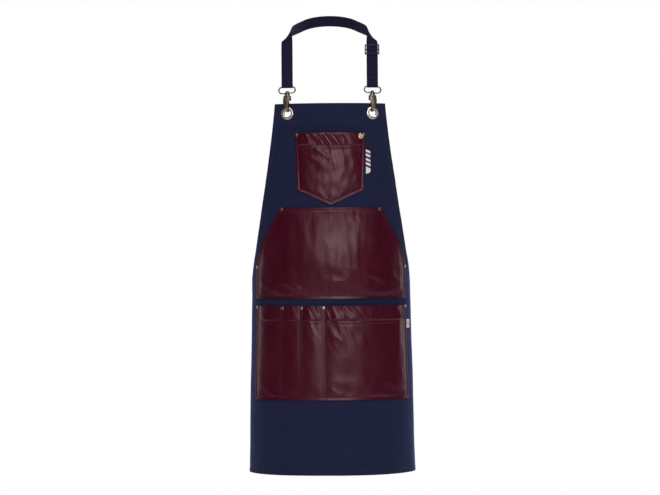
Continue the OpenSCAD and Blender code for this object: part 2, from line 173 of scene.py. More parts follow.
def wrap(s, z, lift):
    """Points at arc length s round the body and height z, lifted off the middle of the cloth."""
    s, z, lift = np.broadcast_arrays(np.asarray(s, float), z, lift)
    k = taper(z)
    run = np.abs(s) / k
    x = np.interp(run, ring_run, ring_x)
    y = np.interp(run, ring_run, ring_y)
    out_x = (x / SECTION_HALF_WIDTH) ** (SECTION_POWER - 1) / SECTION_HALF_WIDTH
    out_y = np.sign(y) * (np.abs(y) / SECTION_HALF_DEPTH) ** (SECTION_POWER - 1) / SECTION_HALF_DEPTH
    size = np.hypot(out_x, out_y)
    lift = lift + drape(s, z)
    return np.stack([np.sign(s) * (k * x + lift * out_x / size), k * y + lift * out_y / size, z], -1)


def arm_half(angle):
    spread = SKIRT_HALF - BIB_HALF - ARM_SLANT
    bulge = ARM_BULGE * np.sin(4 * np.minimum(angle, np.pi / 4))
    return BIB_HALF + ARM_SLANT * np.sin(angle) + bulge + spread * (1 - np.cos(angle))


def edge_half(z):
    rise = np.clip((BIB_TOP - z) / ARM_DROP, 0, 1)
    return np.where(z <= WAIST, SKIRT_HALF, arm_half(np.arcsin(rise)))


class Value:
    """A shader socket that can be used in arithmetic."""

    def __init__(self, finish, socket):
        self.finish = finish
        self.socket = socket

    def math(self, operation, *others, first=None):
        sockets = dict(enumerate((self, *others) if first is None else (first, self)))
        return self.finish.node("ShaderNodeMath", {"operation": operation}, sockets)

    def __add__(self, other):
        return self.math("ADD", other)

    def __sub__(self, other):
        return self.math("SUBTRACT", other)

    def __rsub__(self, other):
        return self.math("SUBTRACT", first=other)

    def __mul__(self, other):
        return self.math("MULTIPLY", other)

    def __pow__(self, other):
        return self.math("POWER", other)

    def __gt__(self, other):
        return self.math("GREATER_THAN", other)

    __radd__ = __add__
    __rmul__ = __mul__


class Finish:
    """A material whose sums are written as expressions on Value."""

    def __init__(self, name, **sockets):
        self.material = bpy.data.materials.new(name)
        self.material.use_nodes = True
        self.tree = self.material.node_tree
        self.surface = self.tree.nodes["Principled BSDF"]
        for socket, number in sockets.items():
            self.surface.inputs[socket.replace("_", " ")].default_value = number

    def node(self, kind, settings, sockets, output=0):
        made = self.tree.nodes.new(kind)
        for key, value in settings.items():
            if key == "stops":
                ramp = made.color_ramp
                for place, _ in value[2:]:
                    ramp.elements.new(place)
                for element, (place, shade) in zip(ramp.elements, value):
                    element.position = place
                    element.color = (*shade, 1) if isinstance(shade, tuple) else (shade, shade, shade, 1)
            else:
                setattr(made, key, value)
        for key, value in sockets.items():
            if isinstance(value, Value):
                self.tree.links.new(value.socket, made.inputs[key])
            else:
                made.inputs[key].default_value = value
        return Value(self, made.outputs[output])

    def place(self, of="Object"):
        return self.node("ShaderNodeTexCoord", {}, {}, of)

    def stretched(self, of, *scale):
        return self.node("ShaderNodeVectorMath", {"operation": "MULTIPLY"}, {0: self.place(of), 1: scale})

    def away_from(self, centre):
        """Distance of a point from centre, in metres."""
        return self.node("ShaderNodeVectorMath", {"operation": "DISTANCE"}, {0: self.place(), 1: centre}, "Value")

    def part(self, vector, axis):
        return self.node("ShaderNodeSeparateXYZ", {}, {0: vector}, axis)

    def noise(self, vector, scale, detail=2.0):
        return self.node("ShaderNodeTexNoise", {}, {"Vector": vector, "Scale": scale, "Detail": detail})

    def ramp(self, value, *stops):
        return self.node("ShaderNodeValToRGB", {"stops": stops}, {0: value})

    def blend(self, share, low, high):
        low, high = [(*c, 1) if isinstance(c, tuple) else c for c in (low, high)]
        return self.node("ShaderNodeMix", {"data_type": "RGBA"}, {0: share, 6: low, 7: high}, 2)

    def feed(self, socket, value):
        self.tree.links.new(value.socket, self.surface.inputs[socket])

    def bump(self, height, depth, strength=1.0):
        self.feed("Normal", self.node("ShaderNodeBump", {}, {"Height": height, "Distance": depth,
                                                             "Strength": strength}))


def woven(name, dark, light, pitch, twill):
    """Cloth of crossing threads, on a UV map that holds the flat cloth in metres."""
    finish = Finish(name, Roughness=0.88, Specular_IOR_Level=0.2, Sheen_Weight=0.3, Sheen_Roughness=0.4,
                    Sheen_Tint=(0.3, 0.36, 0.9, 1))
    flat = finish.place("UV")
    across = finish.part(flat, "X")
    along = finish.part(flat, "Y")
    turns = 2 * math.pi / pitch
    weft = (along * turns + across * (turns * twill)).math("SINE")
    warp = (across * turns).math("SINE")
    threads = weft * 0.3 + warp * 0.2 + 0.5
    mottle = finish.noise(flat, 11, 5) * 0.6 + finish.noise(flat, 420, 2) * 0.4
    finish.feed("Base Color", finish.blend(threads * 0.4 + mottle * 0.6, dark, light))
    slubs = finish.noise(finish.stretched("UV", 900, 160, 1), 1, 2)
    finish.bump(threads * 0.7 + slubs * 0.3, 0.0002, 0.6)
    return finish.material


canvas = woven("navy_canvas", (0.0058, 0.0082, 0.030), (0.0135, 0.0180, 0.061), 0.0009, 1.0)


def sheet_grid(name, columns, rows, shape, material, body):
    """A smooth sheet whose points and flat cloth coordinates come from shape(u, row), u from -1 to 1."""
    rows = np.asarray(rows, float)
    bpy.ops.object.select_all(action="DESELECT")
    bpy.ops.mesh.primitive_grid_add(x_subdivisions=columns, y_subdivisions=len(rows) - 1, size=2)
    piece = bpy.context.object
    piece.name = name
    mesh = piece.data
    grid = np.empty(len(mesh.vertices) * 3)
    mesh.vertices.foreach_get("co", grid)
    grid = grid.reshape(-1, 3)
    row = np.interp((grid[:, 1] + 1) / 2 * (len(rows) - 1), np.arange(len(rows)), rows)
    points, flat = shape(grid[:, 0], row)
    mesh.vertices.foreach_set("co", points.ravel())
    corners = np.empty(len(mesh.loops), np.int32)
    mesh.loops.foreach_get("vertex_index", corners)
    mesh.uv_layers[0].data.foreach_set("uv", flat[corners].ravel())
    mesh.update()
    mesh.materials.append(material)
    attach(piece, body)
    return piece


def worn_sheet(name, columns, rows, place, material):
    """A sheet on the apron: place(u, row) gives s, z and the lift of its outer face."""
    def shape(u, row):
        s, z, lift = np.broadcast_arrays(*place(u, row))
        return wrap(s, z, lift), np.stack([s, z], -1)
    return sheet_grid(name, columns, rows, shape, material, "apron")


def thicken(piece, thickness, offset=-1.0, rounded=0.0):
    bpy.ops.object.select_all(action="DESELECT")
    piece.select_set(True)
    bpy.context.view_layer.objects.active = piece
    solid = piece.modifiers.new("thickness", "SOLIDIFY")
    solid.thickness = thickness
    solid.offset = offset
    bpy.ops.object.modifier_apply(modifier=solid.name)
    if rounded:
        edge = piece.modifiers.new("edge", "BEVEL")
        edge.width = rounded
        edge.segments = 2
        edge.angle_limit = math.radians(50)
        bpy.ops.object.modifier_apply(modifier=edge.name)
    bpy.ops.object.shade_smooth_by_angle(angle=math.radians(48))


def punch_eyelet_holes(piece):
    """Cuts the round hole that each eyelet is set in."""
    for eyelet, yaw in (("left_eyelet", -EYELET_YAW), ("right_eyelet", EYELET_YAW)):
        low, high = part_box(eyelet)
        bpy.ops.object.select_all(action="DESELECT")
        bpy.ops.mesh.primitive_cylinder_add(vertices=48, radius=EYELET_BARREL + 0.0002, depth=0.02,
                                            location=(low + high) / 2, rotation=(math.pi / 2, 0, yaw))
        punch = bpy.context.object
        hole = piece.modifiers.new("hole", "BOOLEAN")
        hole.operation = "DIFFERENCE"
        hole.object = punch
        bpy.context.view_layer.objects.active = piece
        bpy.ops.object.modifier_apply(modifier=hole.name)
        bpy.data.objects.remove(punch)


EYELET_YAW = math.radians(19.67)
EYELET_BARREL = 0.00905
HEM_FOLD = 0.011


def panel_face(s, z):
    """The outer face of the canvas: turned hems stand a little proud, with a pulled line of sewing."""
    from_side = edge_half(z) - np.abs(s)
    from_end = np.minimum(z - HEM, BIB_TOP - z)
    inside = np.minimum(from_side, from_end)
    hem = 0.0006 * (1 - ease(inside, HEM_FOLD - 0.001, HEM_FOLD + 0.002))
    puckers = 0.0004 * noise_at(s * 90, z * 90, 5.5) * (1 - ease(inside, HEM_FOLD, HEM_FOLD + 0.02))
    return CLOTH / 2 + hem + puckers - 0.0005 * groove(inside - HEM_FOLD + 0.002, 0.0022)


skirt_rows = np.arange(HEM, WAIST, 0.0042)
arm_angles = np.radians(np.concatenate([np.arange(90, 30, -1.5), np.arange(30, 0, -0.5)]))
arm_rows = BIB_TOP - ARM_DROP * np.sin(arm_angles)
panel_rows = np.concatenate([skirt_rows, arm_rows, [BIB_TOP]])
panel_rows = panel_rows[np.concatenate([[True], np.diff(panel_rows) > 0.0007])]
panel = worn_sheet("body_cloth", 150, panel_rows,
                   lambda u, z: (u * edge_half(z), z, panel_face(u * edge_half(z), z)), canvas)
thicken(panel, CLOTH)
punch_eyelet_holes(panel)
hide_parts("body_panel")
flat_rows = np.linspace(HEM, BIB_TOP, 400)
float(2 * np.trapz(edge_half(flat_rows), flat_rows))

# ---------------------------------------------------------------------------
# Facings: a canvas strip behind the bib top, where the eyelets are set, and a
# narrow tape behind each armhole edge, all sewn down from the front.
# ---------------------------------------------------------------------------
FACING_DROP = 0.044
TAPE = 0.0008
TAPE_WIDTH = 0.018
EDGE_MARGIN = 0.002
BEHIND = -CLOTH / 2 - 0.0006
facing = worn_sheet("bib_facing", 100, np.linspace(BIB_TOP - FACING_DROP, BIB_TOP - 0.001, 14),
                    lambda u, z: (u * (edge_half(z) - EDGE_MARGIN), z, BEHIND), canvas)
thicken(facing, TAPE)
punch_eyelet_holes(facing)
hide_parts("top_facing")

for side, word in ((-1, "left"), (1, "right")):
    def tape_place(u, angle, side=side):
        z = np.minimum(BIB_TOP - ARM_DROP * np.sin(angle), BIB_TOP - FACING_DROP - EDGE_MARGIN)
        return side * (arm_half(angle) - EDGE_MARGIN - (1 - u * side) / 2 * TAPE_WIDTH), z, BEHIND

    tape = worn_sheet(word + "_armhole_binding", 4, np.radians(np.linspace(84, 6, 90)), tape_place, canvas)
    thicken(tape, TAPE)
    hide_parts(word + "_armhole_tape")

# ---------------------------------------------------------------------------
# Seams of the body: turned hems are held by a row of lockstitch in navy thread
# round the whole edge, and a second row holds the bib facing.
# ---------------------------------------------------------------------------
STITCH = 0.0036
THREAD = 0.0007
PROUD = 0.0002


def thread_finish(name, shade):
    finish = Finish(name, Roughness=0.55, Sheen_Weight=0.3)
    ply = finish.noise(finish.place(), 1500, 2)
    finish.feed("Base Color", finish.blend(ply, tuple(c * 0.6 for c in shade), shade))
    finish.bump(ply, 0.0002)
    return finish.material


bpy.ops.object.select_all(action="DESELECT")
bpy.ops.mesh.primitive_cylinder_add(vertices=6, radius=THREAD / 2, depth=STITCH * 0.62, rotation=(0, math.pi / 2, 0))
bpy.ops.object.transform_apply(rotation=True)
bpy.ops.object.mode_set(mode="EDIT")
bpy.ops.mesh.select_all(action="SELECT")
bpy.ops.mesh.bevel(offset=THREAD * 0.3, segments=1)
bpy.ops.object.mode_set(mode="OBJECT")
one_stitch = bpy.context.object
stitch_points = np.array([v.co for v in one_stitch.data.vertices])
stitch_faces = [tuple(p.vertices) for p in one_stitch.data.polygons]
bpy.data.objects.remove(one_stitch)


def sew(name, runs, material, body="apron"):
    """Lays one stitch after another along runs of (points, outward directions)."""
    points = []
    faces = []
    for line, outward in runs:
        line = np.asarray(line)
        outward = np.broadcast_to(outward, line.shape)
        run = np.concatenate([[0], np.cumsum(np.linalg.norm(np.diff(line, axis=0), axis=1))])
        marks = np.arange(STITCH / 2, run[-1], STITCH)
        centre, ahead, out = [np.stack([np.interp(marks + shift, run, values[:, i]) for i in range(3)], -1)
                              for shift, values in ((0, line), (STITCH / 2, line), (0, outward))]
        along = ahead - centre
        along /= np.maximum(np.linalg.norm(along, axis=1, keepdims=True), 1e-9)
        across = np.cross(out, along)
        across /= np.maximum(np.linalg.norm(across, axis=1, keepdims=True), 1e-9)
        up = np.cross(along, across)
        for c, x, y, z in zip(centre, along, across, up):
            start = len(points) * len(stitch_points)
            points.append(c + stitch_points @ np.stack([x, y, z]))
            faces.extend(tuple(start + i for i in face) for face in stitch_faces)
    mesh = bpy.data.meshes.new(name)
    mesh.from_pydata(np.concatenate(points).tolist(), [], faces)
    mesh.materials.append(material)
    seam = bpy.data.objects.new(name, mesh)
    bpy.context.scene.collection.objects.link(seam)
    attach(seam, body)
    return seam


def on_cloth(s, z, lift):
    """One run of sewing on the apron, with the way out of the cloth at each point."""
    line = wrap(s, z, lift)
    return line, wrap(s, z, lift + 0.001) - line


navy_thread = thread_finish("navy_thread", (0.022, 0.026, 0.07))
seam_in = HEM_FOLD - 0.002
panel_runs = []
heights = np.linspace(HEM + seam_in, BIB_TOP - seam_in, 400)
for side in (-1, 1):
    s = side * (edge_half(heights) - seam_in)
    panel_runs.append(on_cloth(s, heights, panel_face(s, heights) + PROUD))
for height in (HEM + seam_in, BIB_TOP - seam_in, BIB_TOP - FACING_DROP + 0.004):
    s = np.linspace(seam_in - edge_half(height), edge_half(height) - seam_in, 200)
    panel_runs.append(on_cloth(s, np.full(200, height), panel_face(s, height) + PROUD))
sew("body_seams", panel_runs, navy_thread)

# ---------------------------------------------------------------------------
# Chest pocket: wine leatherette with a deep turned hem, sewn round its sides
# and pointed foot close to a folded edge. It gapes a little at the top.
# ---------------------------------------------------------------------------
HIDE = 0.0013
FACE = CLOTH / 2 + 0.0005
CHEST_TOP = -0.236
CHEST_SIDE = -0.363
CHEST_TIP = -0.395
CHEST_RISE = 0.0075
CHEST_BAND = 0.027
CHEST_HALF_LOW = 0.073
CHEST_HALF_GAIN = 0.0045
FOOT_SLOPE = 0.92
EDGE_SEAM = 0.0055


def leatherette():
    """Coated cloth: a fine pressed grain, soft creases and a low gloss that is rubbed in places."""
    finish = Finish("wine_leatherette", Specular_IOR_Level=0.33, Specular_Tint=(1, 0.66, 0.76, 1),
                    Coat_Roughness=0.25)
    flat = finish.place("UV")
    cloud = finish.noise(flat, 14, 4)
    finish.feed("Base Color", finish.blend(cloud, (0.042, 0.0014, 0.0075), (0.068, 0.0040, 0.0160)))
    rubbed = finish.noise(finish.stretched("UV", 30, 9, 1), 1, 5)
    finish.feed("Roughness", rubbed * 0.26 + 0.21)
    finish.feed("Coat Weight", rubbed * 0.12)
    grain = finish.node("ShaderNodeTexVoronoi", {}, {"Vector": flat, "Scale": 1100.0})
    folds = finish.noise(finish.stretched("UV", 60, 38, 1), 1, 6)
    finish.bump(grain * 0.1 + folds, 0.0011, 0.55)
    return finish.material


wine = leatherette()
wine_thread = thread_finish("wine_thread", (0.030, 0.008, 0.014))


def gathers(s, z, seed, slant, width, length):
    """Sharp little ridges that run down to the right, about a width apart."""
    across = (s * np.cos(slant) + z * np.sin(slant)) / width
    along = (s * np.sin(slant) - z * np.cos(slant)) / length
    ridge = 1 - np.abs(noise_at(across, along, seed)) * 2.6
    return np.clip(ridge, -0.3, 1)


def chest_half(z):
    return CHEST_HALF_LOW + CHEST_HALF_GAIN * (z - CHEST_SIDE) / (CHEST_TOP - CHEST_SIDE)


def chest_foot(s, z):
    return CHEST_SIDE + (CHEST_TIP - CHEST_SIDE) * (1 - np.minimum(1, np.abs(s) / chest_half(z)))


def chest_face(s, z):
    """Outer face of the chest pocket."""
    half = chest_half(z)
    u = s / half
    foot = chest_foot(s, z)
    v = (z - foot) / (CHEST_TOP - foot)
    below = CHEST_TOP - z
    inside = np.minimum(half - np.abs(s), (z - foot) * FOOT_SLOPE)
    free = ease(inside, 0.004, 0.016)
    rise = CHEST_RISE * (1 - np.minimum(1, np.abs(u)) ** 3.5) * np.sin(np.pi / 2 * np.clip(v, 0, 1))
    band = 1 - ease(below, CHEST_BAND - 0.002, CHEST_BAND + 0.001)
    left = 1 - 0.65 * ease(s, 0.01, 0.04)
    ruffle = gathers(s, z, 2.0, 0.62, 0.013, 0.05) * 0.0024 * band * left * ease(below, 0.001, 0.006)
    pulls = gathers(s, z, 6.0, 0.95, 0.03, 0.09) * 0.0013 * (1 - band) * (1 - ease(below, 0.045, 0.09)) * (s < 0)
    creases = gathers(s, z, 9.0, 0.25, 0.022, 0.09) * 0.0005 + noise_at(s * 70, z * 45, 3.3) * 0.0006
    creases *= 1 - band
    rays = gathers(s, z, 4.0, 0.1 + 4 * s, 0.016, 0.08) * 0.0010 * (1 - ease(z - CHEST_TIP, 0.03, 0.07))
    rows = groove(below - CHEST_BAND - 0.0015, 0.0016) + groove(below - CHEST_BAND - 0.0080, 0.0016)
    edge = 0.0007 * (1 - ease(inside, 0.0028, 0.0046)) - 0.0005 * groove(inside - EDGE_SEAM, 0.0013)
    relief = ruffle + pulls + creases + rays + 0.0008 * band
    return FACE + HIDE + rise + free * relief - 0.0009 * rows * free + edge


def chest_place(u, v):
    z = CHEST_SIDE
    for _ in range(4):
        foot = chest_foot(u * chest_half(z), z)
        z = foot + v * (CHEST_TOP - foot)
    s = u * chest_half(z)
    return s, z, chest_face(s, z)


chest = worn_sheet("chest_pocket_hide", 116, np.linspace(0, 1, 118), chest_place, wine)
thicken(chest, HIDE)
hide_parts("chest_pocket")

chest_runs = []
for drop in (CHEST_BAND + 0.0015, CHEST_BAND + 0.0080):
    z = np.full(120, CHEST_TOP - drop)
    s = np.linspace(-1, 1, 120) * (chest_half(z) - EDGE_SEAM)
    chest_runs.append(on_cloth(s, z, chest_face(s, z) + PROUD))
for side in (-1, 1):
    z = np.linspace(CHEST_SIDE + 0.004, CHEST_TOP - 0.001, 80)
    s = side * (chest_half(z) - EDGE_SEAM)
    chest_runs.append(on_cloth(s, z, chest_face(s, z) + PROUD))
    s = side * np.linspace(0, CHEST_HALF_LOW - EDGE_SEAM, 60)
    z = chest_foot(s, CHEST_SIDE) + EDGE_SEAM / FOOT_SLOPE
    chest_runs.append(on_cloth(s, z, chest_face(s, z) + PROUD))
sew("chest_seams", chest_runs, wine_thread)

# ---------------------------------------------------------------------------
# Hand pocket: one wide leatherette panel sewn at its top, sides and foot. The
# two slanted edges are left open for the hands, with a navy tape behind each.
# ---------------------------------------------------------------------------
HAND_TOP = -0.401
HAND_CORNER = -0.530
HAND_FOOT = -0.602
HAND_HALF = 0.183
HAND_HALF_TOP = 0.114
HAND_RISE = 0.010
MOUTH_TAPE = (0.010, 0.106)


def hand_half(z):
    fall = np.clip((HAND_TOP - z) / (HAND_TOP - HAND_CORNER), 0, 1)
    return HAND_HALF_TOP + (HAND_HALF - HAND_HALF_TOP) * fall ** 1.08


def hand_rise(u, z):
    v = np.clip((z - HAND_FOOT - 0.007) / (HAND_TOP - HAND_FOOT - 0.014), 0, 1)
    shut = np.clip(1 - (z - HAND_CORNER - 0.008) / 0.05, 0, 1)
    return HAND_RISE * np.sin(np.pi * v) * (1 - shut * np.minimum(1, np.abs(u) / 0.95) ** 2)


def hand_face(s, z):
    """Outer face of the hand pocket."""
    u = s / hand_half(z)
    below = HAND_TOP - z
    above = z - HAND_FOOT
    side = (hand_half(z) - np.abs(s)) * 0.85
    inside = np.minimum(np.minimum(below, above), side)
    free = ease(inside, 0.004, 0.02)
    sag = noise_at(s * 9, z * 7, 4.4) * 0.0012 + noise_at(s * 60, z * 22, 7.1) * 0.0007
    creases = gathers(s, z, 12.0, 0.12, 0.030, 0.12) * 0.0004
    shrug = gathers(s, z, 15.0, 1.15, 0.03, 0.12) * 0.0014 * (1 - ease(above, 0.03, 0.09))
    puckers = noise_at(s * 120, z * 35, 2.2) * 0.0006 * (1 - ease(np.minimum(below, above), 0.012, 0.035))
    edge = 0.0004 * (1 - ease(inside, 0.0028, 0.0046)) - 0.0005 * groove(inside - 0.0060, 0.0014)
    return (FACE + HIDE + hand_rise(u, z) + free * (sag + creases + shrug)
            + puckers * ease(inside, 0.002, 0.01) + edge)


hand = worn_sheet("hand_pocket_hide", 176, np.linspace(HAND_FOOT, HAND_TOP, 100),
                  lambda u, z: (u * hand_half(z), z, hand_face(u * hand_half(z), z)), wine)
thicken(hand, HIDE)
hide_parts("hand_pocket")

hand_runs = []
for z in (HAND_TOP - 0.006, HAND_TOP - 0.0125, HAND_FOOT + 0.006, HAND_FOOT + 0.0125):
    s = np.linspace(-1, 1, 240) * (hand_half(z) - 0.006)
    hand_runs.append(on_cloth(s, np.full(240, z), hand_face(s, z) + PROUD))
for side in (-1, 1):
    z = np.linspace(HAND_FOOT + 0.006, HAND_TOP - 0.006, 160)
    s = side * (hand_half(z) - 0.0065)
    hand_runs.append(on_cloth(s, z, hand_face(s, z) + PROUD))
sew("hand_seams", hand_runs, wine_thread)

for side, word in ((-1, "left"), (1, "right")):
    def mouth_place(u, z, side=side):
        inward = 0.003 + (1 - u * side) / 2 * MOUTH_TAPE[0]
        half = hand_half(z)
        return side * (half - inward), z, FACE + hand_rise(1 - inward / half, z) - 0.001

    mouth = worn_sheet(word + "_mouth_facing", 4, np.linspace(HAND_CORNER + 0.024, HAND_TOP - 0.024, 30),
                       mouth_place, canvas)
    thicken(mouth, TAPE)
    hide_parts(word + "_mouth_tape")

# ---------------------------------------------------------------------------
# Tool pocket: a leatherette panel with a turned hem. Three double rows of
# sewing divide it into three slim pockets and one wide one.
# ---------------------------------------------------------------------------
TOOL_TOP = -0.6175
TOOL_FOOT = -0.8255
TOOL_HALF = 0.183
TOOL_RISE = 0.008
TOOL_BAND = 0.032
TOOL_BAYS = ((-0.176, -0.1125), (-0.1075, -0.0685), (-0.0635, -0.0195), (-0.0145, 0.176))
DIVIDERS = (-0.110, -0.066, -0.017)


def tool_face(s, z):
    """Outer face of the tool pocket, with s measured at the height of its hem."""
    v = (z - TOOL_FOOT) / (TOOL_TOP - TOOL_FOOT)
    below = TOOL_TOP - z
    above = z - TOOL_FOOT
    crown = np.zeros_like(s)
    for a, b in TOOL_BAYS:
        across = np.clip((2 * s - a - b) / (b - a), -1, 1)
        fullness = min(0.6, 3.2 * (b - a))
        crown = np.maximum(crown, fullness * (1 - np.abs(across) ** (2 + 1.2 * fullness)))
    rise = TOOL_RISE * crown * np.sin(np.pi / 2 * np.clip(v * 1.4, 0, 1))
    inside = np.minimum(above, TOOL_HALF - np.abs(s))
    free = ease(inside, 0.004, 0.014) * ease(crown, 0.0, 0.25)
    band = 1 - ease(below, TOOL_BAND - 0.002, TOOL_BAND + 0.001)
    pull = np.zeros_like(s)
    for divider in (*DIVIDERS, 0.150):
        reach = (s - divider) / 0.062
        pull += np.where(reach > 0, np.exp(-np.maximum(reach, 0) ** 1.5), 0)
    ruffle = gathers(s, z, 3.0, 0.50, 0.012, 0.06) * 0.0030 * band * np.clip(pull, 0.2, 1)
    drop_folds = gathers(s, z, 8.0, 0.42, 0.020, 0.08) * 0.0013 * (1 - band) * np.clip(pull, 0, 1)
    drop_folds *= 1 - ease(below, 0.06, 0.11)
    waves = noise_at(s * 12, z * 8, 5.0) * 0.0010 + noise_at(s * 60, z * 26, 2.6) * 0.0007
    foot = gathers(s, z, 14.0, 1.2, 0.03, 0.1) * 0.0012 * (1 - ease(above, 0.02, 0.06))
    rows = (groove(below - TOOL_BAND - 0.0015, 0.0016) + groove(below - TOOL_BAND - 0.0085, 0.0016)) * free
    sewn = 0.0003 * sum(groove(s - d - shift, 0.0013) for d in DIVIDERS for shift in (-0.003, 0.003))
    edge = 0.0004 * (1 - ease(inside, 0.0028, 0.0046)) - 0.0004 * groove(inside - EDGE_SEAM, 0.0013)
    return (FACE + HIDE + rise + free * (ruffle + drop_folds + waves + foot + 0.0008 * band)
            - 0.0010 * rows - sewn + edge)


def tool_place(s, z):
    return s * taper(z) / taper(TOOL_TOP), z, tool_face(s, z)


tool = worn_sheet("tool_pocket_hide", 190, np.linspace(TOOL_FOOT, TOOL_TOP, 108),
                  lambda u, z: tool_place(u * TOOL_HALF, z), wine)
thicken(tool, HIDE)
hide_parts("tool_pocket")

tool_runs = []
for z in (TOOL_TOP - TOOL_BAND - 0.0015, TOOL_TOP - TOOL_BAND - 0.0085, TOOL_FOOT + EDGE_SEAM):
    s = np.linspace(0.006 - TOOL_HALF, TOOL_HALF - 0.006, 260)
    s, height, lift = tool_place(s, np.full(260, z))
    tool_runs.append(on_cloth(s, height, lift + PROUD))
divider_rows = [d + shift for d in DIVIDERS for shift in (-0.003, 0.003)]
for s in (*divider_rows, EDGE_SEAM - TOOL_HALF, TOOL_HALF - EDGE_SEAM):
    s, height, lift = tool_place(np.full(160, s), np.linspace(TOOL_FOOT + EDGE_SEAM, TOOL_TOP - 0.002, 160))
    tool_runs.append(on_cloth(s, height, lift + PROUD))
sew("tool_seams", tool_runs, wine_thread)

# ---------------------------------------------------------------------------
# Striped tab and side label: a folded ribbon with slanting stripes caught in
# the chest pocket's right seam, and a small woven label at the tool pocket.
# ---------------------------------------------------------------------------
TAB_TOP = -0.273
TAB_FOOT = -0.326
TAB_INNER = 0.0786
TAB_HALF = 0.0052
LABEL_MIDDLE = 0.1915
LABEL_HALF = 0.0055
LABEL_TOP = -0.650
LABEL_FOOT = -0.669
ribbon_cloth = Finish("striped_ribbon", Roughness=0.6, Sheen_Weight=0.2)
ribbon_flat = ribbon_cloth.place("UV")
stripe = ((TAB_TOP - ribbon_cloth.part(ribbon_flat, "Y")) - ribbon_cloth.part(ribbon_flat, "X") * 0.42
          + 0.0335) * (1 / 0.0190)
stripe_in = stripe.math("FRACT")
is_ribbon = 1 - (stripe > 2.0)
red = (stripe_in > 0.24) * (1 - (stripe_in > 0.48)) * is_ribbon
gap = (stripe_in > 0.74) * is_ribbon
threads = ribbon_cloth.noise(ribbon_cloth.stretched("UV", 400, 2400, 1), 1, 2)
white = ribbon_cloth.blend(threads, (0.62, 0.64, 0.70), (0.88, 0.89, 0.93))
with_red = ribbon_cloth.blend(red, white, (0.30, 0.008, 0.022))
ribbon_cloth.feed("Base Color", ribbon_cloth.blend(gap, with_red, (0.010, 0.012, 0.035)))
ribbon_cloth.bump(threads, 0.0003)


def tab_place(u, z):
    """The ribbon's lower end is rounded."""
    round_end = np.sqrt(np.clip(1 - (np.maximum(0, TAB_FOOT + 0.006 - z) / 0.006) ** 2, 0, 1))
    half = TAB_HALF * np.maximum(0.25, round_end)
    return TAB_INNER + (u + 1) * half, z, FACE + 0.0011 + 0.0006 * np.sin(np.pi * (u + 1) / 2)


tab = worn_sheet("ribbon_tab", 8, np.linspace(TAB_FOOT, TAB_TOP, 60), tab_place, ribbon_cloth.material)
thicken(tab, 0.001)
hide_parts("striped_tab")

label_cloth = Finish("label_satin", Roughness=0.45, Sheen_Weight=0.2)
label_flat = label_cloth.place("UV")
label_s = label_cloth.part(label_flat, "X")
label_z = label_cloth.part(label_flat, "Y")
block = (label_s > 0.1885) * (1 - (label_s > 0.1940)) * (label_z > -0.6655) * (1 - (label_z > -0.6535))
satin = label_cloth.noise(label_cloth.stretched("UV", 2600, 500, 1), 1, 2)
label_white = label_cloth.blend(satin, (0.66, 0.64, 0.68), (0.9, 0.88, 0.9))
label_cloth.feed("Base Color", label_cloth.blend(block, label_white, (0.75, 0.22, 0.33)))
label_cloth.bump(satin, 0.0002)
label = worn_sheet("woven_label", 8, np.linspace(LABEL_FOOT, LABEL_TOP, 12),
                   lambda u, z: (LABEL_MIDDLE + u * LABEL_HALF, z, FACE + 0.0010 + 0.0012 * (u + 1) / 2),
                   label_cloth.material)
thicken(label, 0.0009)
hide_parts("side_label")

# ---------------------------------------------------------------------------
# Rivets, stud and eyelets: antique brass, turned and pressed, worn bright on
# every raised rim. The rivets hold the pocket corners through the canvas.
# ---------------------------------------------------------------------------


def aged_metal(name, dark, bright, roughness, wear=0.5):
    """Plated metal with tarnish in the hollows of the finish and fine scratches."""
    finish = Finish(name, Metallic=1.0)
    tarnish = finish.noise(finish.place(), 260, 4)
    specks = finish.noise(finish.place(), 1600, 2)
    worn = finish.ramp(tarnish * 0.6 + specks * 0.4, (wear - 0.12, 0.0), (wear + 0.12, 1.0))
    finish.feed("Base Color", finish.blend(worn, dark, bright))
    finish.feed("Roughness", worn * (-0.16) + roughness)
    finish.bump(finish.noise(finish.stretched("Object", 900, 900, 260), 1, 3), 0.0002, 0.35)
    return finish


def finished_copy(node, body, finish, bevel):
    """A CAD part with its facets merged, its sharp edges broken and its curves smoothed."""
    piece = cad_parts[node].copy()
    piece.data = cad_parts[node].data.copy()
    piece.parent = None
    for key in list(piece.keys()):
        del piece[key]
    piece.name = node + "_finished"
    bpy.context.scene.collection.objects.link(piece)
    bpy.ops.object.select_all(action="DESELECT")
    piece.select_set(True)
    bpy.context.view_layer.objects.active = piece
    bpy.ops.object.mode_set(mode="EDIT")
    bpy.ops.mesh.select_all(action="SELECT")
    bpy.ops.mesh.remove_doubles(threshold=0.000005)
    bpy.ops.mesh.dissolve_limited(angle_limit=math.radians(1))
    bpy.ops.object.mode_set(mode="OBJECT")
    rounded = piece.modifiers.new("edge", "BEVEL")
    rounded.width = bevel
    rounded.segments = 2
    rounded.angle_limit = math.radians(35)
    bpy.ops.object.modifier_apply(modifier=rounded.name)
    bpy.ops.object.shade_smooth_by_angle(angle=math.radians(40))
    piece.data.materials.clear()
    piece.data.materials.append(finish.material)
    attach(piece, body)
    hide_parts(node)
    return piece


